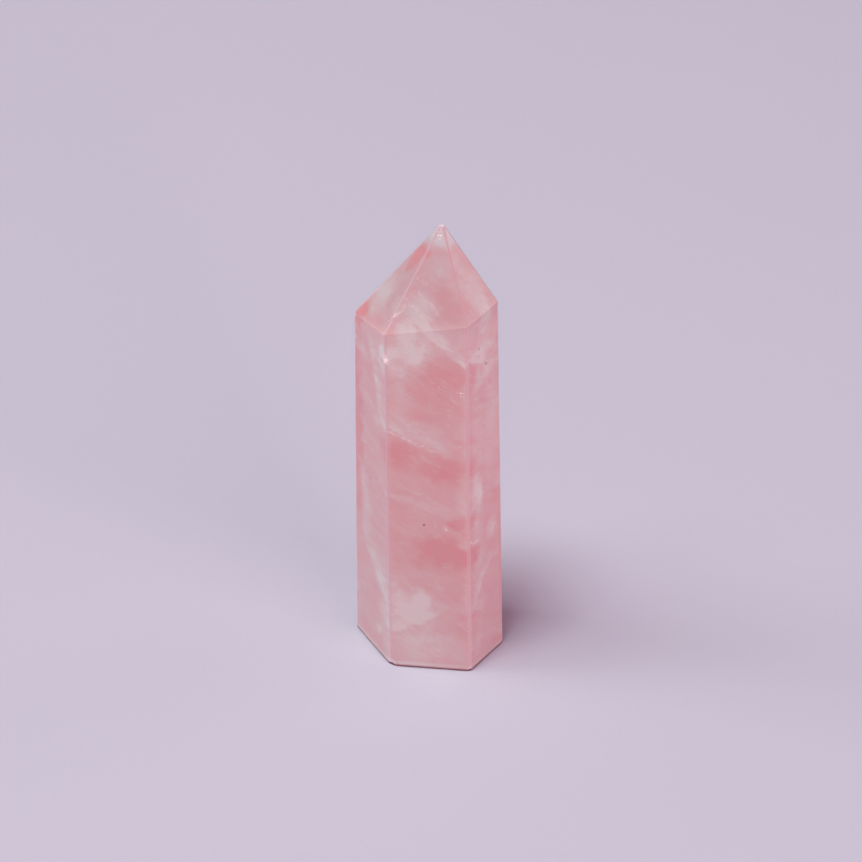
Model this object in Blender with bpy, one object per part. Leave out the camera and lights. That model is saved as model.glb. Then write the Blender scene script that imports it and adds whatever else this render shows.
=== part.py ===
"""Rose quartz point: one piece of stone, cut and polished as a six-sided column with a six-faced tip.

Units are metres, +Z is up, and the origin is under the middle of the foot. The column stands on its
sawn foot. Each side is a flat facet given by where it faces, how far it lies from the axis at the foot
and how much it leans inwards. The tip's facets follow from the heights of the column's corners and
from the point.
"""

from math import cos, radians, sin

import bmesh
import bpy
from mathutils import Matrix, Vector

MM = 0.001

# Driving dimensions
HEIGHT = 70.0 * MM
POINT_OFF_AXIS = 1.58 * MM

# The side facets, counter-clockwise from above: name, heading in degrees from +X, reach and lean
SIDES = [
    ("left", 206.6, 8.95 * MM, 0.1),
    ("front", 262.7, 8.87 * MM, 1.5),
    ("right", 327.4, 10.05 * MM, 1.4),
    ("right_back", 27.0, 8.55 * MM, 0.6),
    ("back", 84.0, 8.9 * MM, 1.4),
    ("left_back", 146.0, 10.3 * MM, 0.0),
]

# How high each corner of the column rises, for the corner after each side in the same order
SHOULDERS = [55.5 * MM, 57.5 * MM, 57.7 * MM, 55.6 * MM, 54.5 * MM, 54.0 * MM]

# The polished edges: the width of the narrow flat that a polishing wheel leaves, and each edge's share
EDGE_WIDTH = 0.6 * MM
EDGE_SEGMENTS = 4
COLUMN_SHARE = 1.0
SHOULDER_SHARE = 0.35
RIDGE_SHARE = 0.6
FOOT_SHARE = 0.7

# Small nicks: name, corner, height, radius of the scoop and how deep it bites into the edge
NICKS = [
    ("nick_point", None, HEIGHT, 2.2 * MM, 0.3 * MM),
    ("nick_left_shoulder", 5, SHOULDERS[5], 1.6 * MM, 0.4 * MM),
    ("nick_front_edge", 0, 51.6 * MM, 2.4 * MM, 0.3 * MM),
    ("nick_front_foot", 0, 0.3 * MM, 2.6 * MM, 0.5 * MM),
    ("nick_right_foot", 1, 0.2 * MM, 1.5 * MM, 0.35 * MM),
    ("nick_back_edge", 3, 33.0 * MM, 2.0 * MM, 0.45 * MM),
    ("nick_back_foot", 4, 0.2 * MM, 1.8 * MM, 0.45 * MM),
]
NICK_SUBDIVISIONS = 3
NICK_SQUASH = 0.75

STONE_COLOUR = (0.66, 0.33, 0.36, 1.0)
STONE_ROUGHNESS = 0.15


def clear_scene():
    for obj in list(bpy.data.objects):
        bpy.data.objects.remove(obj, do_unlink=True)


def side_plane(side):
    """The outward normal of a side and its distance from the origin."""
    _, heading, reach, lean = side
    turn = radians(heading)
    tilt = radians(lean)
    normal = Vector((cos(turn) * cos(tilt), sin(turn) * cos(tilt), sin(tilt)))
    return normal, reach * cos(tilt)


def corner_point(index, height):
    """Where a side and the next one meet, at a height."""
    first, first_reach = side_plane(SIDES[index])
    second, second_reach = side_plane(SIDES[(index + 1) % len(SIDES)])
    level = Vector((0, 0, 1))
    return Matrix((first, second, level)).inverted() @ Vector((first_reach, second_reach, height))


def outline():
    """The foot's corners, the shoulders' corners and the point."""
    count = len(SIDES)
    foot = [corner_point(i, 0.0) for i in range(count)]
    shoulders = [corner_point(i, SHOULDERS[i]) for i in range(count)]
    point = Vector((POINT_OFF_AXIS, 0.0, HEIGHT))
    return foot, shoulders, point


def cut_column():
    """The sharp stone: flat sides, flat tip facets and a flat foot, with a bevel weight on each edge."""
    foot, shoulders, point = outline()
    count = len(SIDES)
    bm = bmesh.new()
    weight = bm.edges.layers.float.new("bevel_weight_edge")
    low = [bm.verts.new(p) for p in foot]
    high = [bm.verts.new(p) for p in shoulders]
    top = bm.verts.new(point)
    bm.faces.new(list(reversed(low)))
    for i in range(count):
        before = i - 1
        bm.faces.new((low[before], low[i], high[i], high[before]))
        bm.faces.new((high[before], high[i], top))
    shares = {
        COLUMN_SHARE: [(low[i], high[i]) for i in range(count)],
        SHOULDER_SHARE: [(high[i - 1], high[i]) for i in range(count)],
        RIDGE_SHARE: [(high[i], top) for i in range(count)],
        FOOT_SHARE: [(low[i - 1], low[i]) for i in range(count)],
    }
    for share, pairs in shares.items():
        for pair in pairs:
            bm.edges.get(pair)[weight] = share
    mesh = bpy.data.meshes.new("rose_quartz_point")
    bm.to_mesh(mesh)
    bm.free()
    return mesh


def stone_material():
    material = bpy.data.materials.new("rose_quartz")
    material.use_nodes = True
    shader = material.node_tree.nodes["Principled BSDF"]
    shader.inputs["Base Color"].default_value = STONE_COLOUR
    shader.inputs["Roughness"].default_value = STONE_ROUGHNESS
    shader.inputs["Metallic"].default_value = 0.0
    return material


def add_edge_polish(stone):
    """Rounds every edge a little, by its weight."""
    bevel = stone.modifiers.new("edge_polish", "BEVEL")
    bevel.limit_method = "WEIGHT"
    bevel.offset_type = "WIDTH"
    bevel.width = EDGE_WIDTH
    bevel.segments = EDGE_SEGMENTS
    bevel.use_clamp_overlap = True


def nick_cutter(name, corner, height, radius, bite):
    """A flattened ball whose near side bites into a corner of the stone, or into its point."""
    foot, shoulders, point = outline()
    if corner is None:
        place = point
        outward = Vector((0.35, -0.25, 1.0)).normalized()
    else:
        place = foot[corner].lerp(shoulders[corner], height / SHOULDERS[corner])
        outward = Vector((place.x, place.y, 0.0)).normalized()
    bm = bmesh.new()
    bmesh.ops.create_icosphere(bm, subdivisions=NICK_SUBDIVISIONS, radius=radius)
    bmesh.ops.scale(bm, vec=(1.0, 1.0, NICK_SQUASH), verts=bm.verts)
    turn = Vector((1, 0, 0)).rotation_difference(outward).to_matrix()
    bmesh.ops.rotate(bm, matrix=turn, verts=bm.verts)
    bmesh.ops.translate(bm, vec=place + outward * (radius - bite), verts=bm.verts)
    mesh = bpy.data.meshes.new(name)
    bm.to_mesh(mesh)
    bm.free()
    cutter = bpy.data.objects.new(name, mesh)
    cutter.display_type = "WIRE"
    cutter.hide_render = True
    bpy.context.scene.collection.objects.link(cutter)
    return cutter


def add_nicks(stone):
    for row in NICKS:
        cutter = nick_cutter(*row)
        cutter.parent = stone
        cut = stone.modifiers.new(cutter.name, "BOOLEAN")
        cut.operation = "DIFFERENCE"
        cut.object = cutter


def stand_on_origin(stone):
    """Moves the stone so that the origin is under the middle of its box."""
    bpy.context.view_layer.update()
    graph = bpy.context.evaluated_depsgraph_get()
    corners = [Vector(c) for c in stone.evaluated_get(graph).bound_box]
    middle_x = (min(c.x for c in corners) + max(c.x for c in corners)) / 2
    middle_y = (min(c.y for c in corners) + max(c.y for c in corners)) / 2
    stone.location = (-middle_x, -middle_y, 0.0)


def main():
    clear_scene()
    stone = bpy.data.objects.new("rose_quartz_point", cut_column())
    bpy.context.scene.collection.objects.link(stone)
    stone.data.materials.append(stone_material())
    add_edge_polish(stone)
    add_nicks(stone)
    stand_on_origin(stone)


main()
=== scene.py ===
"""Looks of the rose quartz point: a polished stone, milky inside, with pale veils and healed cracks.

Metres, +Z up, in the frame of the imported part. The stone is one piece. Its facets, polished edges and
nicks come from the frame, and everything here works on how its surface and its inside look. The marks
inside the stone are drawn in millimetres in the same frame.
"""

from math import cos, radians, sin, tan

import bmesh
import bpy
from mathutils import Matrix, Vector


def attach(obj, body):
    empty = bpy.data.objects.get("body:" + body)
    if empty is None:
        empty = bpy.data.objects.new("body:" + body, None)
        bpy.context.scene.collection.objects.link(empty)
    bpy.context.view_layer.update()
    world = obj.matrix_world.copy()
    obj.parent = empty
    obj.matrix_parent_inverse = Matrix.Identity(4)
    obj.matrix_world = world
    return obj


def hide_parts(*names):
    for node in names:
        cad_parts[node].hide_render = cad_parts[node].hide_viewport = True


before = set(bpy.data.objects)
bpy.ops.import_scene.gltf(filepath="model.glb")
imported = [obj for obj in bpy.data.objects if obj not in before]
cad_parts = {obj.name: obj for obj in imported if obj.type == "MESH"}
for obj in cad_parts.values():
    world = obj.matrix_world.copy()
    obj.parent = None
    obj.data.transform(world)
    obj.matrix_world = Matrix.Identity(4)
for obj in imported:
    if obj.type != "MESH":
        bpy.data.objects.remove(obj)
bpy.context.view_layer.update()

MM = 0.001
STONE = "rose_quartz_point"


class Signal:
    """One output of a material's nodes. Arithmetic on it adds Math nodes."""

    def __init__(self, finish, socket):
        self.finish = finish
        self.socket = socket

    def maths(self, operation, *others):
        values = dict(enumerate((self, *others)))
        return self.finish.add("Math", {"operation": operation}, values)

    def __add__(self, other):
        return self.maths("ADD", other)

    def __mul__(self, other):
        return self.maths("MULTIPLY", other)

    def __sub__(self, other):
        return self.maths("SUBTRACT", other)

    def __rsub__(self, other):
        return self.finish.add("Math", {"operation": "SUBTRACT"}, {0: other, 1: self})

    def __abs__(self):
        return self.maths("ABSOLUTE")

    __radd__ = __add__
    __rmul__ = __mul__


class Finish:
    """A material and the one way that nodes are added to it."""

    def __init__(self, name):
        self.material = bpy.data.materials.new(name)
        self.material.use_nodes = True
        self.tree = self.material.node_tree
        self.tree.nodes.clear()

    def add(self, kind, settings=None, values=None, out=0):
        node = self.tree.nodes.new("ShaderNode" + kind)
        for key, value in (settings or {}).items():
            setattr(node, key, value)
        for key, value in (values or {}).items():
            socket = node.inputs[key]
            if isinstance(value, Signal):
                self.tree.links.new(value.socket, socket)
            else:
                socket.default_value = value
        return Signal(self, node.outputs[out])

    def vector(self, operation, *values, out=0):
        return self.add("VectorMath", {"operation": operation}, dict(enumerate(values)), out)

    def millimetres(self):
        """The place on the surface, in millimetres."""
        return self.vector("MULTIPLY", self.add("TexCoord", out="Object"), (1 / MM, 1 / MM, 1 / MM))

    def noise(self, where, scale, detail=3.0, rough=0.5, out=0):
        """Cloudy noise, 0 to 1, or its colour. The scale is features to the unit of where."""
        values = {"Vector": where, "Scale": scale, "Detail": detail, "Roughness": rough}
        return self.add("TexNoise", {"noise_dimensions": "3D"}, values, out)

    def step(self, value, start, end, low=0.0, high=1.0):
        """Eases from low to high as value goes from start to end."""
        values = {"Value": value, "From Min": start, "From Max": end, "To Min": low, "To Max": high}
        return self.add("MapRange", {"interpolation_type": "SMOOTHSTEP"}, values)

    def mix(self, share, first, second):
        """Two colours mixed, all of the second where the share is 1. Their sockets go by number."""
        values = {"Factor": share, 6: first, 7: second}
        return self.add("Mix", {"data_type": "RGBA"}, values, 2)

    def ramp(self, value, stops):
        """The colour that a value stands for, from rows of a value and its colour."""
        colour = self.add("ValToRGB", None, {"Fac": value})
        elements = colour.socket.node.color_ramp.elements
        elements.remove(elements[-1])
        elements[0].position, elements[0].color = stops[0]
        for position, shade in stops[1:]:
            elements.new(position).color = shade
        return colour

    def output(self, shader):
        node = self.tree.nodes.new("ShaderNodeOutputMaterial")
        self.tree.links.new(shader.socket, node.inputs["Surface"])
        return self.material


def srgb(red, green, blue):
    """A colour from the 0 to 255 values a screen shows it with."""
    parts = [c / 255 for c in (red, green, blue)]
    return tuple(c / 12.92 if c <= 0.04045 else ((c + 0.055) / 1.055) ** 2.4 for c in parts) + (1.0,)


# Places in the stone are in millimetres from the middle of its foot. Milk is how milky the stone is,
# from 0 for clear deep pink to 1 for nearly white. MILK is what it has where nothing is drawn.
MILK = 0.41
MILK_COLOURS = [
    (0.0, srgb(210, 148, 150)),
    (0.25, srgb(211, 159, 160)),
    (0.5, srgb(211, 171, 172)),
    (0.75, srgb(212, 184, 184)),
    (1.0, srgb(216, 202, 201)),
]

# How deep under the surface the large clouds, the fine hairs and the cracks lie
CLOUD_DEPTH = 4.0
HAIR_DEPTH = 0.4
CRACK_DEPTH = 0.3

# What changes with height, from one height to another and from one value to another: how deep the zones
# and veils lie, how strong the painted shade is that greys and darkens the tip and the lower stone and that
# darkens the tip's ridges, and how strong the point's haze, the foot's pale rim and the painted shadow at
# its foot are
MARK_DEPTH = (54.0, 60.0, 1.5, 0.8)
TIP_PAINTED_SHADE = (54.0, 59.0, 0.0, 0.36)
LOW_PAINTED_SHADE = (36.0, 0.0, 0.0, 0.17)
POINT_HAZE = (66.0, 67.5, 0.0, 0.5)
RIDGE_PAINTED_SHADE_HEIGHTS = (56.5, 58.5, 0.0, 0.35)
RIM_TOP = (1.2, 0.8, 0.0, 1.0)
RIM_BOTTOM = (0.45, 0.65, 0.0, 0.3)
FOOT_PAINTED_SHADOW = (0.5, 0.2, 0.0, 1.0)

# How ragged the zones' rims are, and how much milk the threads and the large clouds add or take
RAGGED = 1.2
THREAD_MILK = 0.45
CLOUD_MILK = 0.45

# Soft zones under the surface: name, middle, half sizes and how much milk they add or take
ZONES = [
    ("point_pink", (-0.8, -0.6, 65.0), (1.3, 0.9, 1.7), -0.95),
    ("point_pink_low", (-2.0, -0.8, 63.2), (1.2, 0.9, 1.3), -0.6),
    ("point_pink_tail", (-1.4, -3.4, 62.4), (0.7, 0.7, 1.0), -0.35),
    ("shoulder_pink", (-8.8, 1.8, 54.2), (1.3, 1.7, 1.4), -0.6),
    ("shoulder_milk", (-5.4, 0.4, 57.8), (3.4, 3.0, 3.4), 0.6),
    ("tip_pink", (3.7, -5.8, 58.8), (2.4, 1.6, 1.5), -0.18),
    ("tip_pink_high", (1.7, -4.4, 60.3), (1.8, 1.4, 1.3), -0.2),
    ("front_top_milk", (0.5, -6.4, 55.0), (6.0, 2.2, 4.0), 0.25),
    ("tip_milk", (-1.8, -4.8, 58.4), (4.0, 2.2, 2.6), 0.42),
    ("tip_milk_high", (1.8, -2.2, 64.0), (2.4, 1.6, 2.4), 0.35),
    # The tip's right facet is made paler here partly by milk and partly by painted light
    ("tip_right_milk_and_painted_light", (5.6, -3.0, 60.0), (3.0, 2.8, 5.0), 0.4),
    ("high_pink", (2.4, -6.3, 50.0), (4.2, 2.2, 3.2), -0.12),
    ("high_milk", (-3.4, -5.6, 52.5), (3.4, 2.2, 4.5), 0.45),
    ("edge_flock", (-5.1, -5.3, 52.4), (1.6, 1.2, 0.9), 0.3),
    ("high_flock", (-1.5, -5.8, 51.8), (1.6, 1.2, 0.8), 0.2),
    ("small_flock", (-3.9, -5.6, 46.8), (1.0, 1.2, 1.2), 0.2),
    ("right_top_milk", (7.0, -3.6, 52.5), (3.0, 3.4, 6.5), 0.4),
    ("right_near_milk", (6.2, -6.4, 30.0), (1.6, 1.6, 26.0), 0.25),
    ("right_middle_milk", (7.8, -2.8, 39.0), (2.6, 3.2, 9.0), 0.2),
    ("right_high_milk", (5.4, -5.5, 47.3), (1.5, 2.0, 1.8), 0.25),
    ("left_rim_pink", (-9.2, 1.6, 36.0), (1.3, 2.0, 18.0), -0.45),
    ("right_rim_pink", (9.4, -1.1, 12.0), (0.8, 1.0, 14.0), -0.2),
    ("left_pink", (-4.3, -5.9, 36.4), (2.6, 1.8, 2.8), -0.27),
    ("middle_pink", (2.7, -6.8, 33.8), (4.0, 2.0, 2.2), -0.32),
    ("right_milk", (5.6, -6.2, 29.2), (1.6, 1.6, 3.4), 0.28),
    ("pocket_pink", (4.4, -7.3, 25.0), (1.7, 1.2, 1.0), -0.35),
    ("right_flock", (5.2, -7.1, 21.4), (1.2, 1.2, 1.2), 0.35),
    ("right_edge_milk", (7.7, -3.2, 21.6), (1.4, 1.4, 1.8), 0.35),
    ("low_pink", (2.0, -7.1, 20.1), (4.8, 2.0, 3.0), -0.45),
    ("low_pink_right", (4.9, -7.5, 19.1), (1.8, 1.6, 2.4), -0.25),
    ("low_milk", (-2.0, -7.0, 8.0), (6.0, 2.2, 4.0), 0.22),
    ("low_cloud", (-1.1, -6.9, 12.3), (1.6, 1.2, 1.7), 0.5),
    ("low_cloud_left", (-3.0, -6.6, 10.4), (3.2, 1.8, 2.8), 0.33),
    ("foot_pocket_pink", (4.9, -7.8, 9.2), (1.0, 1.0, 0.8), -0.2),
    ("foot_milk", (-1.0, -7.2, 3.4), (6.5, 2.4, 3.6), 0.4),
    ("left_milk", (-8.0, 0.0, 24.1), (1.5, 2.5, 5.0), 0.25),
    ("left_low_milk", (-5.8, -5.0, 12.0), (1.5, 1.6, 5.0), 0.25),
    ("left_foot_milk", (-6.0, -4.1, 4.2), (1.2, 1.2, 1.0), 0.3),
    ("back_pink", (1.0, 7.0, 44.0), (3.6, 2.0, 4.0), -0.5),
    ("back_cloud", (-2.5, 7.6, 22.0), (3.0, 1.8, 4.0), 0.4),
    ("back_low_pink", (3.0, 7.4, 9.0), (3.0, 2.0, 3.0), -0.45),
    ("left_back_milk", (-8.0, 4.5, 38.0), (2.0, 2.5, 6.0), 0.35),
    ("left_back_pink", (-7.6, 5.2, 18.0), (2.0, 2.5, 4.0), -0.45),
    ("right_back_pink", (7.6, 2.0, 40.0), (2.0, 3.0, 4.0), -0.5),
    ("right_back_cloud", (7.8, 3.0, 14.0), (1.6, 2.4, 3.4), 0.45),
    ("tip_back_milk", (0.5, 4.6, 59.5), (3.0, 2.0, 3.0), 0.35),
    ("tip_right_back_pink", (4.6, 3.0, 58.0), (2.0, 2.0, 2.0), -0.4),
]

# Veils, sheets of milk with one crisp side: name, a point on the crisp side, where the milk fades to,
# how far it takes to fade, how far the sheet reaches and how much milk it adds
VEILS = [
    ("point_cap", (2.4, -0.9, 66.8), (0.1, -0.1, 1.0), 6.0, 7.0, 0.9),
    ("tip_sheet", (2.1, -6.2, 53.5), (0.65, 0.1, 0.76), 3.6, 8.0, 0.4),
    ("left_sheet", (-6.5, -3.2, 46.4), (0.43, -0.85, 0.3), 5.0, 9.0, 0.32),
    ("crack_sheet", (-2.4, -6.0, 38.2), (0.39, 0.2, 0.92), 5.0, 6.5, 0.3),
    ("middle_sheet", (-1.0, -6.5, 27.2), (0.44, 0.1, 0.9), 3.5, 7.5, 0.25),
    ("left_low_sheet", (-6.9, -2.4, 14.9), (0.31, -0.63, 0.7), 6.5, 8.5, 0.3),
    ("foot_sheet", (-1.8, -6.9, 7.5), (-0.53, 0.0, 0.85), 5.0, 6.5, 0.4),
    ("right_low_sheet", (6.2, -5.2, 13.4), (-0.5, -0.6, 0.6), 2.5, 5.0, 0.3),
    ("back_sheet", (0.0, 7.4, 33.0), (-0.5, 0.1, 0.85), 4.5, 8.0, 0.4),
    ("right_back_sheet", (7.0, 3.0, 26.0), (0.3, 0.5, 0.8), 3.5, 7.0, 0.35),
    ("left_back_sheet", (-8.4, 4.0, 52.0), (0.1, 0.5, -0.86), 4.0, 7.0, 0.35),
]

# Cracks near the surface, healed and bright: name, middle, the way the crack's plane faces, half
# thickness, reach and brightness
CRACKS = [
    ("long_line", (1.8, -7.8, 47.2), (0.7, 0.0, 0.71), 0.12, 4.8, 0.3),
    ("ragged_crack", (-2.4, -7.5, 38.3), (0.39, 0.2, 0.92), 0.22, 4.6, 0.6),
    ("low_streak", (4.6, -8.4, 22.6), (0.55, 0.0, 0.83), 0.25, 3.6, 0.6),
    ("foot_line", (4.8, -9.3, 7.8), (0.81, 0.0, 0.58), 0.14, 1.5, 0.35),
    ("ridge_line", (-4.6, -5.4, 58.6), (-0.5, 0.75, 0.3), 0.2, 2.4, 0.5),
    ("tip_line", (-1.0, -3.7, 62.5), (0.3, 0.2, 0.9), 0.14, 1.2, 0.3),
    ("tip_streak", (-2.1, -5.1, 59.0), (0.7, 0.24, 0.68), 0.35, 2.4, 0.3),
    ("tip_streak_high", (-0.1, -5.0, 59.9), (0.7, 0.24, 0.68), 0.4, 2.8, 0.25),
    ("back_crack", (1.0, 8.5, 29.0), (-0.45, 0.1, 0.88), 0.2, 4.0, 0.5),
    ("left_back_line", (-8.6, 5.6, 28.0), (0.2, 0.5, 0.8), 0.14, 3.5, 0.35),
]

# Where painted glints, tiny highlights, crowd together, and the few dark specks: name, middle and half
# sizes
PAINTED_GLINTS = [
    ("edge_glints", (-6.3, -6.8, 51.6), (0.8, 0.8, 1.0)),
    ("point_glints", (1.4, -0.9, 68.4), (0.5, 0.6, 0.7)),
    ("tick_glints", (4.4, -8.2, 46.8), (0.5, 0.4, 0.5)),
]
SPECKS = [
    ("front_speck", (-0.8, -8.1, 24.6), (0.2, 0.2, 0.22)),
    ("right_speck", (8.0, -4.2, 49.4), (0.2, 0.2, 0.24)),
    ("right_small_speck", (7.0, -5.6, 52.6), (0.13, 0.13, 0.16)),
    ("left_speck", (-8.5, -2.5, 29.1), (0.13, 0.13, 0.16)),
    ("back_speck", (-1.5, 8.8, 40.0), (0.18, 0.18, 0.2)),
]
# How close the painted glints lie, to the millimetre
GLINTS_PER_MM = 2.9
SPECK_STRENGTH = 0.8

# Colours laid over the stone's own pink, and how strongly the edges and nicks show theirs. The haze grey,
# the edge and ridge colours and the foot colour are painted shade; the nicks' pale is partly bruise and
# partly painted light; the glitter white is painted highlights.
EDGE_SHADE_SHARE = 0.6
CHIP_SHARE = 0.85
PAINTED_SHADE_GREY = srgb(176, 160, 165)
POINT_GREY = srgb(196, 196, 199)
EDGE_PAINTED_SHADE = srgb(190, 161, 167)
PAINTED_RIDGE_SHADE = srgb(170, 134, 139)
CHIP_BRUISE_AND_PAINTED_LIGHT = srgb(230, 211, 214)
PAINTED_SHADOW_COLOUR = srgb(140, 80, 96)
CRACK_WHITE = srgb(228, 212, 214)
PAINTED_GLINT_WHITE = srgb(250, 240, 240)
SPECK_BROWN = srgb(122, 74, 78)

# How the polished stone takes light. Light goes in about as far as the scatter length.
STONE_IOR = 1.54
SCATTER_LENGTH = 2.0 * MM
SCATTER_SHARES = (1.0, 0.55, 0.55)
WORN_ROUGHNESS = 0.33
POLISH_WAVES = 0.03 * MM


def total(signals):
    result = signals[0]
    for signal in signals[1:]:
        result = result + signal
    return result


def stirred(finish, where, scale, reach):
    """A place pushed about by noise, so that nothing drawn there is straight."""
    push = finish.vector("SUBTRACT", finish.noise(where, scale, 2.0, out="Color"), (0.5, 0.5, 0.5))
    return finish.vector("MULTIPLY_ADD", push, (reach, reach, reach), where)


def sheared(finish, where, long, short):
    """A place squeezed across the way the veils lie, so that noise read there runs along them."""
    turn = Vector((0.5, 0.15, 0.85)).to_track_quat("Z", "Y").to_euler()
    values = {"Vector": where, "Rotation": tuple(turn), "Scale": (long, long, short)}
    return finish.add("Mapping", {"vector_type": "TEXTURE"}, values)


def zone(finish, where, ragged, middle, half, strength=1.0):
    """A soft zone, full in its middle and gone at its rim. Ragged moves the rim in and out."""
    shrink = tuple(1.0 / h for h in half)
    shift = tuple(-m / h for m, h in zip(middle, half))
    far = finish.vector("LENGTH", finish.vector("MULTIPLY_ADD", where, shrink, shift), out="Value")
    return finish.step(far + ragged, 1.35, 0.3, 0.0, strength)


def across(finish, where, middle, faces):
    """How far a place lies from a plane, on the side it faces, and how far from the plane's middle."""
    away = finish.vector("SUBTRACT", where, middle)
    off = finish.vector("DOT_PRODUCT", away, tuple(Vector(faces).normalized()), out="Value")
    return off, finish.vector("LENGTH", away, out="Value")


def veil(finish, where, middle, faces, fade, reach, strength):
    off, far = across(finish, where, middle, faces)
    sheet = finish.step(off, fade * -0.12, fade * 0.08) * finish.step(off, fade, 0.0)
    return sheet * finish.step(far, reach, reach * 0.5, 0.0, strength)


def crack(finish, where, middle, faces, half, reach, strength):
    off, far = across(finish, where, middle, faces)
    return finish.step(abs(off), half, half * 0.3) * finish.step(far, reach, reach * 0.7, 0.0, strength)


def milkiness(finish, under, height):
    """How milky the stone is: zones, veils, the threads in them, clouds, fine hairs and the foot's rim."""
    marks = under(finish.step(height, *MARK_DEPTH))
    drift = stirred(finish, stirred(finish, marks, 0.22, 2.2), 1.0, 0.6)
    lumps = finish.noise(drift, 0.5, 4.0, 0.6)
    ragged = (lumps - 0.5) * RAGGED
    zones = total([zone(finish, drift, ragged, *row[1:]) for row in ZONES])
    veils = total([veil(finish, drift, *row[1:]) for row in VEILS])
    threads = finish.noise(sheared(finish, drift, 3.6, 1.2), 1.0, 4.0, 0.55)
    veils = veils * finish.step(threads, 0.25, 0.7, 0.5, 1.25)
    clouds = finish.noise(sheared(finish, under(CLOUD_DEPTH), 7.0, 3.0), 1.0, 3.0, 0.5)
    shallow = stirred(finish, under(HAIR_DEPTH), 0.5, 0.8)
    hairs = abs(finish.noise(sheared(finish, shallow, 5.0, 1.3), 1.0, 2.0, 0.5) - 0.5)
    hairs = finish.step(hairs, 0.024, 0.003) * finish.step(lumps, 0.42, 0.6, 0.0, 0.2)
    foot_rim = finish.step(height, *RIM_TOP) * finish.step(height, *RIM_BOTTOM)
    milk = MILK + zones + veils + (threads - 0.5) * THREAD_MILK + (clouds - 0.5) * CLOUD_MILK
    return milk + hairs + foot_rim


def pink_with_painted_shade(finish, milk, height):
    """The colour of the inside. Painted shade greys and darkens it in the tip and towards the foot, and the
    point greys.
    """
    tip_shade = finish.step(height, *TIP_PAINTED_SHADE) * finish.step(milk, -0.1, 0.3, 0.3, 1.0)
    painted_shade = tip_shade + finish.step(height, *LOW_PAINTED_SHADE)
    # Painted shade: the haze grey darkens the tip and the lower stone
    colour = finish.mix(painted_shade, finish.ramp(milk, MILK_COLOURS), PAINTED_SHADE_GREY)
    return finish.mix(finish.step(height, *POINT_HAZE), colour, POINT_GREY)


def painted_light_on_edges_nicks_and_foot(finish, colour, height, facing, edge_wear_and_shade, chipped):
    """Painted shade greys the polished edges and darkens the tip's ridges, nicks are paler, partly bruised
    and partly painted light, and painted shadow darkens the foot and other undersides.
    """
    faces_up = finish.add("SeparateXYZ", None, {"Vector": facing}, "Z")
    # Painted shadow: dark on the foot's lowest edge and on faces that look down, nicks left out
    shaded_underside = finish.step(faces_up, -0.15, -0.6) * (1.0 - chipped)
    painted_shadow = finish.step(height, *FOOT_PAINTED_SHADOW).maths("MAXIMUM", shaded_underside)
    # Painted shade greys and darkens the polished edges
    colour = finish.mix(edge_wear_and_shade * EDGE_SHADE_SHARE, colour, EDGE_PAINTED_SHADE)
    # Painted shade darkens the tip's ridges, where they would catch the light
    colour = finish.mix(edge_wear_and_shade * finish.step(height, *RIDGE_PAINTED_SHADE_HEIGHTS), colour, PAINTED_RIDGE_SHADE)
    # Nicks paler, partly a bruised face and partly painted light against their own shade
    colour = finish.mix(chipped * CHIP_SHARE, colour, CHIP_BRUISE_AND_PAINTED_LIGHT)
    return finish.mix(painted_shadow, colour, PAINTED_SHADOW_COLOUR)


def small_marks(finish, colour, under, surface):
    """Healed cracks, crowds of painted glints and a few dark specks."""
    jagged = stirred(finish, under(CRACK_DEPTH), 0.9, 1.1)
    breaks = finish.step(finish.noise(jagged, 1.6, 2.0), 0.35, 0.6)
    cracks = total([crack(finish, jagged, *row[1:]) for row in CRACKS]) * breaks
    cells = finish.add("TexVoronoi", None, {"Vector": surface, "Scale": GLINTS_PER_MM})
    glint_crowds = total([zone(finish, surface, 0.0, *row[1:]) for row in PAINTED_GLINTS])
    specks = total([zone(finish, surface, 0.0, *row[1:], SPECK_STRENGTH) for row in SPECKS])
    colour = finish.mix(cracks, colour, CRACK_WHITE)
    colour = finish.mix(finish.step(cells, 0.48, 0.2) * glint_crowds, colour, PAINTED_GLINT_WHITE)
    return finish.mix(specks, colour, SPECK_BROWN)


def stone_finish():
    finish = Finish("rose_quartz_polished")
    surface = finish.millimetres()
    height = finish.add("SeparateXYZ", None, {"Vector": surface}, "Z")
    facing = finish.add("TexCoord", out="Normal")
    # The mark of polished edges and nicks: it makes them rougher, greys the edges with painted shade and
    # paints light into the nicks
    wear_mark = finish.add("Attribute", {"attribute_name": "edge_wear_and_shade"}, out="Fac")
    edge_wear_and_shade = wear_mark.maths("MINIMUM", 1.0)
    chipped = finish.step(wear_mark, 1.2, 1.8)

    def under(depth):
        """The place that deep under the surface."""
        inwards = finish.add("VectorMath", {"operation": "SCALE"}, {0: facing, "Scale": -1.0 * depth})
        return finish.vector("ADD", surface, inwards)

    colour = pink_with_painted_shade(finish, milkiness(finish, under, height), height)
    colour = painted_light_on_edges_nicks_and_foot(finish, colour, height, facing, edge_wear_and_shade, chipped)
    colour = small_marks(finish, colour, under, surface)
    smear = finish.noise(surface, 0.3, 3.0)
    waves = finish.noise(surface, 0.45, 2.0) + finish.noise(surface, 5.0, 3.0) * 0.06
    return finish.output(finish.add("BsdfPrincipled", {"subsurface_method": "RANDOM_WALK"}, {
        "Base Color": colour,
        "Roughness": finish.step(smear, 0.3, 0.7, 0.1, 0.17) + edge_wear_and_shade * WORN_ROUGHNESS,
        "Normal": finish.add("Bump", None, {"Strength": 0.5, "Distance": POLISH_WAVES, "Height": waves}),
        "IOR": STONE_IOR,
        "Subsurface Weight": 1.0,
        "Subsurface Radius": SCATTER_SHARES,
        "Subsurface Scale": SCATTER_LENGTH,
    }))


# Loose triangles of the frame's stone are merged where they meet, and joined where they lie this flat
SAME_PLACE = 0.002 * MM
FLAT_ANGLE = radians(1.0)

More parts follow.
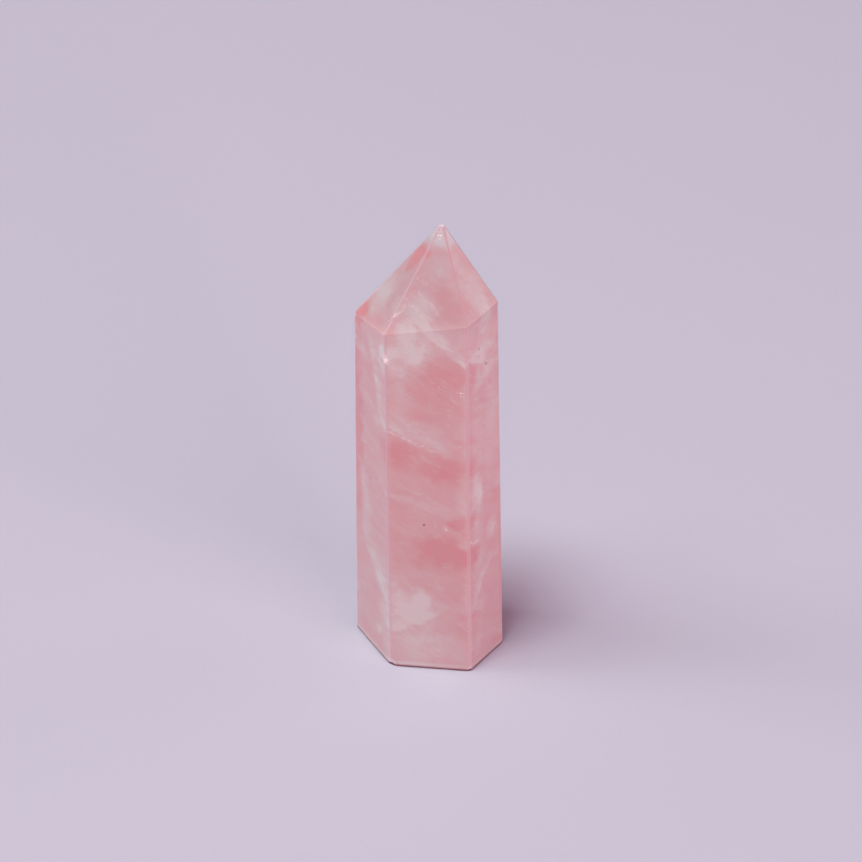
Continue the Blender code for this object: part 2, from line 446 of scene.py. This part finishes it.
# The nicks in the frame's stone, in millimetres, and how far their bruised faces reach
NICKS = [
    ("nick_point", (1.8, 0.0, 70.0)),
    ("nick_left_shoulder", (-10.6, 1.9, 54.0)),
    ("nick_front_edge", (-6.3, -6.7, 51.6)),
    ("nick_front_foot", (-5.7, -8.1, 0.3)),
    ("nick_right_foot", (5.9, -9.6, 0.2)),
    ("nick_back_edge", (5.1, 7.7, 33.0)),
    ("nick_back_foot", (-5.8, 9.6, 0.2)),
]
NICK_REACH = 2.6

# Faces over this area are facets. Near a nick, faces whose length squared is under this many times their
# area are bruised ones. The rest are strips of polished edges, level if they rise less than this share
# of their length.
FACET_AREA = 20.0 * MM * MM
SLIM = 10.0
LEVEL_RISE = 0.3

# The marks that wear leaves on a strip, on a level strip and in a nick
EDGE_WEAR = 1.0
LEVEL_EDGE_WEAR = 0.25
CHIP_WEAR = 2.0


def wear(face):
    """How worn a face is, 0 for a facet."""
    if face.calc_area() > FACET_AREA:
        return 0.0
    longest = max(face.edges, key=lambda edge: edge.calc_length())
    length = longest.calc_length()
    rise = abs(longest.verts[0].co.z - longest.verts[1].co.z)
    middle = face.calc_center_median() / MM
    near = any((middle - Vector(place)).length < NICK_REACH for _, place in NICKS)
    if near and length * length < SLIM * face.calc_area():
        return CHIP_WEAR
    return LEVEL_EDGE_WEAR if rise < LEVEL_RISE * length else EDGE_WEAR


def polished_stone():
    """The frame's stone merged into one skin, flat on its facets, smooth over its edges, sharp in nicks."""
    bm = bmesh.new()
    bm.from_mesh(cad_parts[STONE].data)
    bmesh.ops.remove_doubles(bm, verts=bm.verts, dist=SAME_PLACE)
    bmesh.ops.dissolve_limit(bm, angle_limit=FLAT_ANGLE, verts=bm.verts, edges=bm.edges)
    edge_wear_and_shade = bm.faces.layers.float.new("edge_wear_and_shade")
    for face in bm.faces:
        face.smooth = True
        face[edge_wear_and_shade] = wear(face)
    for edge in bm.edges:
        edge.smooth = len({face[edge_wear_and_shade] == CHIP_WEAR for face in edge.link_faces}) == 1
    mesh = bpy.data.meshes.new("polished_stone")
    bm.to_mesh(mesh)
    bm.free()
    mesh.materials.clear()
    mesh.materials.append(stone_finish())
    stone = bpy.data.objects.new("polished_stone", mesh)
    bpy.context.scene.collection.objects.link(stone)
    flats = stone.modifiers.new("flat_facets", "WEIGHTED_NORMAL")
    flats.keep_sharp = True
    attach(stone, "root")
    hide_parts(STONE)


FLOOR_HALF = 2.5
FLOOR_COLOUR = srgb(205, 203, 216)
FLOOR_FIBRE = srgb(201, 199, 212)
FIBRE_HEIGHT = 0.05 * MM


def paper_floor():
    bm = bmesh.new()
    bmesh.ops.create_grid(bm, x_segments=1, y_segments=1, size=FLOOR_HALF)
    mesh = bpy.data.meshes.new("paper_floor")
    bm.to_mesh(mesh)
    bm.free()
    finish = Finish("lavender_paper")
    surface = finish.millimetres()
    fibres = finish.noise(surface, 1.2, 4.0, 0.6)
    clouds = finish.noise(surface, 0.015, 2.0)
    shader = finish.add("BsdfPrincipled", None, {
        "Base Color": finish.mix(fibres * 0.6 + clouds * 0.4, FLOOR_COLOUR, FLOOR_FIBRE),
        "Roughness": finish.step(fibres, 0.3, 0.7, 0.85, 0.95),
        "Specular IOR Level": 0.2,
        "Normal": finish.add("Bump", None, {"Strength": 0.3, "Distance": FIBRE_HEIGHT, "Height": fibres}),
    })
    mesh.materials.append(finish.output(shader))
    floor = bpy.data.objects.new("paper_floor", mesh)
    bpy.context.scene.collection.objects.link(floor)


# Soft lights around the stone: name, azimuth and elevation in degrees, width, height, watts and colour.
# Azimuth 0 stands in front of the stone and 90 on its right. The skylight casts the shadow and the top
# light softens it. The low cards light the sides and hardly reach the floor. The glint card shows in the
# tip's right facet. All face a point halfway up the stone.
LIGHT_AIM = Vector((0.0, 0.0, 35.0 * MM))
LIGHT_DISTANCE = 2.0
LIGHTS = [
    ("skylight", -34.0, 72.0, 0.6, 0.6, 18.0, (0.9, 1.0, 1.0)),
    ("top_light", 0.0, 90.0, 1.0, 1.0, 5.5, (1.0, 0.5, 0.75)),
    ("high_left", -76.0, 62.0, 1.0, 1.0, 12.0, (0.82, 1.0, 0.92)),
    ("left_card", -95.0, 8.0, 1.0, 1.0, 23.0, (1.0, 0.92, 0.98)),
    ("right_card", 36.0, 8.0, 1.4, 1.0, 33.0, (1.0, 0.76, 0.79)),
    ("back_card", 118.0, 20.0, 1.0, 1.0, 2.0, (1.0, 0.5, 0.75)),
    ("glint_card", 105.0, 17.0, 0.75, 0.75, 1.9, (1.0, 0.97, 0.92)),
]
WORLD_COLOUR = (1.0, 0.15, 0.53, 1.0)
WORLD_STRENGTH = 0.07


def seen_from(azimuth, elevation):
    """The direction from the stone to a place around it."""
    turn, rise = radians(azimuth), radians(elevation)
    return Vector((sin(turn) * cos(rise), -cos(turn) * cos(rise), sin(rise)))


def studio():
    world = bpy.data.worlds.new("studio")
    bpy.context.scene.world = world
    world.use_nodes = True
    background = world.node_tree.nodes["Background"]
    background.inputs["Color"].default_value = WORLD_COLOUR
    background.inputs["Strength"].default_value = WORLD_STRENGTH
    for name, azimuth, elevation, width, height, watts, colour in LIGHTS:
        light = bpy.data.lights.new(name, "AREA")
        light.shape = "RECTANGLE"
        light.size = width
        light.size_y = height
        light.energy = watts
        light.color = colour
        box = bpy.data.objects.new(name, light)
        away = seen_from(azimuth, elevation)
        box.location = LIGHT_AIM + away * LIGHT_DISTANCE
        box.rotation_euler = away.to_track_quat("Z", "Y").to_euler()
        bpy.context.scene.collection.objects.link(box)


CAMERA_ELEVATION = 32.0
CAMERA_DISTANCE = 719.5 * MM
CAMERA_VIEW = 10.0
SENSOR_WIDTH = 36.0
CAMERA_AIM = Vector((0.2 * MM, 8.79 * MM, 29.98 * MM))


def camera():
    data = bpy.data.cameras.new("camera")
    data.sensor_width = SENSOR_WIDTH
    data.lens = SENSOR_WIDTH / 2 / tan(radians(CAMERA_VIEW / 2))
    data.clip_start = 0.05
    data.clip_end = 20.0
    camera = bpy.data.objects.new("camera", data)
    away = seen_from(0.0, CAMERA_ELEVATION)
    camera.location = CAMERA_AIM + away * CAMERA_DISTANCE
    camera.rotation_euler = away.to_track_quat("Z", "Y").to_euler()
    bpy.context.scene.collection.objects.link(camera)
    bpy.context.scene.camera = camera


polished_stone()
paper_floor()
studio()
camera()
bpy.context.scene.view_settings.view_transform = "Standard"
